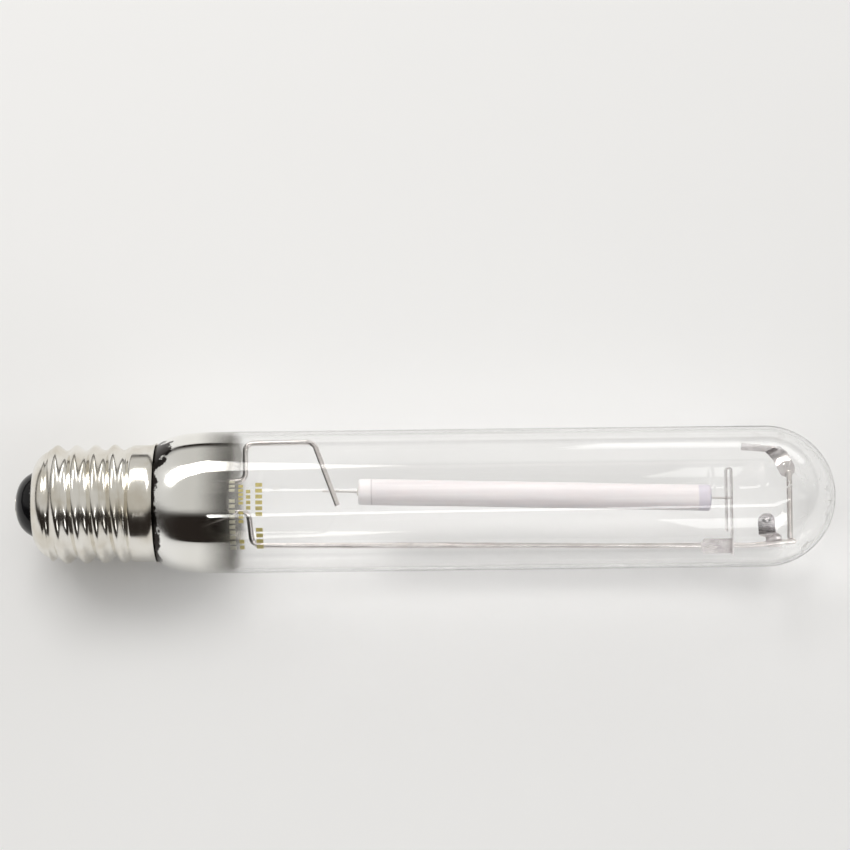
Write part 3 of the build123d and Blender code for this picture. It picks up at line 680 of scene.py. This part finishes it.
def shellRings(inset):
    # Each ring is a circle of its own centre and radius. The thread's centres ride on a helix whose radius
    # is half the thread's depth, by a share that eases in before the thread and out after it
    s = shellShape
    front = frontArc(inset)
    threadFull = s["threadStart"] + s["runIn"]
    threadEnd = threadFull + s["turns"] * s["pitch"]
    skirtStart = threadEnd + s["runOut"]
    flareStart = skirtStart + s["skirtLength"]
    threadAlong = np.linspace(threadFull, threadEnd, s["threadSamples"])
    mean = s["crest"] - s["depth"] / 2 - inset
    skirt = s["skirtRadius"] - inset
    blend = np.linspace(0, 1, s["runSamples"])[1:-1]
    ease = blend * blend * (3 - 2 * blend)
    plain = np.linspace(skirtStart, flareStart, s["skirtSamples"] + 1)[:-1]
    flare = np.linspace(0, 1, s["flareSamples"])
    flareRise = flare**2 * (s["rimRadius"] - s["skirtRadius"])
    # Place along the lamp, radius and share of the helix, one row for each stretch of the shell
    stretches = [
        (front[:, 0], front[:, 1], 0 * front[:, 0]),
        (threadFull + (blend - 1) * s["runIn"], front[-1, 1] + ease * (mean - front[-1, 1]), ease),
        (threadAlong, mean + 0 * threadAlong, 1 + 0 * threadAlong),
        (threadEnd + blend * s["runOut"], mean + ease * (skirt - mean), 1 - ease),
        (plain, skirt + 0 * plain, 0 * plain),
        (flareStart + flare * s["flareLength"], skirt + flareRise, 0 * flare),
    ]
    place, radius, share = np.concatenate([np.array(stretch) for stretch in stretches], axis=1)
    turn = 2 * math.pi * (np.clip(place, threadFull, threadEnd) - s["crestOnUpperSide"]) / s["pitch"]
    offset = share * s["depth"] / 2
    return np.array([place, radius, offset * np.cos(turn), offset * np.sin(turn)])


def makeScrewShell():
    # Rings of the outside from lip to rim, then of the inside back to the lip, each one at its centre
    # plus its radius times the cosine and sine of the turn
    rings = np.concatenate([shellRings(0.0), shellRings(shellShape["wall"])[:, ::-1]], axis=1)
    place, radius, side, height = rings[:, :, None]
    turn = np.linspace(0, 2 * math.pi, shellShape["around"], endpoint=False)
    grid = lampPoints(place, side + radius * np.cos(turn), height + radius * np.sin(turn))
    mesh = gridMesh("threaded_shell", grid)
    return newPiece(mesh, metal["nickel_plate"], "nickel_plate", "screw_shell", sharp=50.0)


makeScrewShell()

print("printed marks")

printShape = {
    # Each column's distance from the nose, its width, and its marks: from, to and how many, in side distance
    "columns": [
        (0.0733, 0.0019, [(0.0070, 0.0030, 3), (0.0010, -0.0160, 10)]),
        (0.0762, 0.0015, [(0.0056, -0.0012, 5), (-0.0030, -0.0072, 3), (-0.0122, -0.0160, 2)]),
        (0.0786, 0.0014, [(0.0040, -0.0030, 4)]),
        (0.0820, 0.0022, [(0.0062, -0.0052, 6), (-0.0084, -0.0158, 4)]),
    ],
    "markShare": 0.66,  # share of its pitch that each mark fills
    "depth": 0.00008,  # the ink lies this far inside the outside of the glass
    "thickness": 0.00003,
    "samples": 5,
}


def makePrint():
    # Rows of plain blocks on the cylinder under the glass's outside. Each block is a row of sections with
    # four corners, at even steps across it, with an end face on the first and the last
    p = printShape
    outer = bulbRadius - p["depth"]
    blocks = []
    for place, width, groups in p["columns"]:
        for start, end, count in groups:
            pitch = (end - start) / count
            first = start + pitch * np.arange(count)
            side = np.linspace(first, first + pitch * p["markShare"], p["samples"], axis=1)
            turn = np.arcsin(side / bulbRadius)[:, :, None]
            radius = outer - p["thickness"] * np.array([0, 0, 1, 1])
            along = place + width / 2 * np.array([-1, 1, 1, -1])
            corners = lampPoints(along, radius * np.sin(turn), radius * np.cos(turn))
            blocks.append(corners.reshape(count, -1, 3))
    vertices = np.concatenate(blocks)
    corner = np.arange(4)
    beside = np.roll(corner, -1)
    section = 4 * np.arange(p["samples"] - 1)[:, None]
    walls = section[:, :, None] + np.stack([corner, beside, beside + 4, corner + 4], axis=-1)
    ends = np.array([corner[::-1], corner + 4 * (p["samples"] - 1)])
    block = np.vstack([walls.reshape(-1, 4), ends])
    faces = block + 4 * p["samples"] * np.arange(len(vertices))[:, None, None]
    mesh = bpy.data.meshes.new("printed_marks")
    mesh.from_pydata(vertices.reshape(-1, 3).tolist(), [], faces.reshape(-1, 4).tolist())
    mesh.update()
    return newPiece(outwards(mesh), makePrintInk(), "white_ceramic")


makePrint()

print("camera and studio")

viewShape = {
    "elevation": math.radians(68.0),
    "distance": 0.80,
    "focalPixels": 2404.0,
    "imagePixels": 850.0,
    "lampBelowCentre": 75.0,  # pixels from the picture's centre down to the lamp's axis
    "turn": math.radians(-0.69),
    "sensor": 36.0,
}

studioShape = {
    "floorHalf": 3.0,
    "floorColours": ((0.93, 0.933, 0.94), (0.94, 0.943, 0.95)),
    "darkRoom": (0.035, 0.028, 0.024),
    "ceiling": (0.98, 0.965, 0.93),
    "ceilingLean": 1.1,
    "ceilingFrom": (-0.10, 0.30),
    "horizon": (0.03, 0.22),
    "backdrop": (0.9, 0.9, 0.9),  # what the camera sees past the floor
    "strength": 0.62,
    # name, place, aim, size, power and colour
    "lamps": [
        ("key", (-0.45, 0.55, 0.95), (0, 0, 0), (0.9, 0.35), 5.0, (1.0, 0.98, 0.95)),
        ("strip", (0.25, -0.55, 0.75), (0.05, 0, 0), (0.9, 0.06), 0.7, (1.0, 1.0, 1.0)),
        ("rim", (0.5, 0.8, 0.35), (0, 0, 0), (0.9, 0.2), 1.2, (1.0, 1.0, 1.0)),
        ("fill", (0.33, -0.72, 0.36), (0.11, 0, 0.02), (0.34, 0.26), 0.55, (1.0, 1.0, 1.0)),
    ],
}


def makeCamera():
    # Looks down from the near side, aimed above the lamp's axis so that the lamp lies low in the picture
    v = viewShape
    data = bpy.data.cameras.new("view")
    data.sensor_width = v["sensor"]
    data.lens = v["sensor"] * v["focalPixels"] / v["imagePixels"]
    data.clip_start = 0.01
    camera = bpy.data.objects.new("view", data)
    bpy.context.scene.collection.objects.link(camera)
    back = Vector((0, -math.cos(v["elevation"]), math.sin(v["elevation"])))
    tilt = v["elevation"] - math.atan(v["lampBelowCentre"] / v["focalPixels"])
    location = Vector((0, 0, axisZ)) + back * v["distance"]
    upright = Matrix.Rotation(math.pi / 2 - tilt, 4, "X")
    camera.matrix_world = Matrix.Translation(location) @ upright @ Matrix.Rotation(v["turn"], 4, "Z")
    bpy.context.scene.camera = camera


def makeLamp(name, location, target, size, power, colour):
    data = bpy.data.lights.new(name, "AREA")
    data.shape = "RECTANGLE"
    data.size, data.size_y = size
    data.energy = power
    data.color = colour
    lamp = bpy.data.objects.new(name, data)
    bpy.context.scene.collection.objects.link(lamp)
    lamp.location = location
    aim = Vector(target) - Vector(location)
    lamp.rotation_euler = aim.to_track_quat("-Z", "Y").to_euler()


def makeFloor():
    # One plain square, its tone varied a little by a noise
    finish = Finish("floor", studioShape["floorColours"][0], 0.9)
    grain = finish.noise(30.0, 3.0)
    finish.drive("Base Color", finish.mix(grain, *studioShape["floorColours"]))
    half = studioShape["floorHalf"]
    mesh = bpy.data.meshes.new("floor")
    corners = [(-half, -half, 0), (half, -half, 0), (half, half, 0), (-half, half, 0)]
    mesh.from_pydata(corners, [], [(0, 1, 2, 3)])
    mesh.materials.append(finish.material)
    floor = bpy.data.objects.new("floor", mesh)
    bpy.context.scene.collection.objects.link(floor)


def makeWorld():
    # A wide pale ceiling that leans to the far side, a dark room on the near side and at the horizon
    s = studioShape
    world = bpy.data.worlds.new("studio")
    world.use_nodes = True
    room = Tree(world.node_tree)
    background = world.node_tree.nodes["Background"]
    direction = room.add("ShaderNodeTexCoord").outputs["Generated"]
    split = room.add("ShaderNodeSeparateXYZ", None, [direction])
    x, y, z = [Field(room, socket) for socket in split.outputs]
    ceiling = (z + y * s["ceilingLean"]).ramp(*s["ceilingFrom"]) * z.ramp(*s["horizon"])
    seen = Field(room, room.add("ShaderNodeLightPath").outputs["Is Camera Ray"])
    tone = room.mix(ceiling, s["darkRoom"], s["ceiling"])
    room.feed(background.inputs["Color"], room.mix(seen, tone, s["backdrop"]))
    background.inputs["Strength"].default_value = s["strength"]
    bpy.context.scene.world = world


makeCamera()
makeFloor()
makeWorld()
for lamp in studioShape["lamps"]:
    makeLamp(*lamp)

bpy.context.scene.view_settings.view_transform = "Standard"
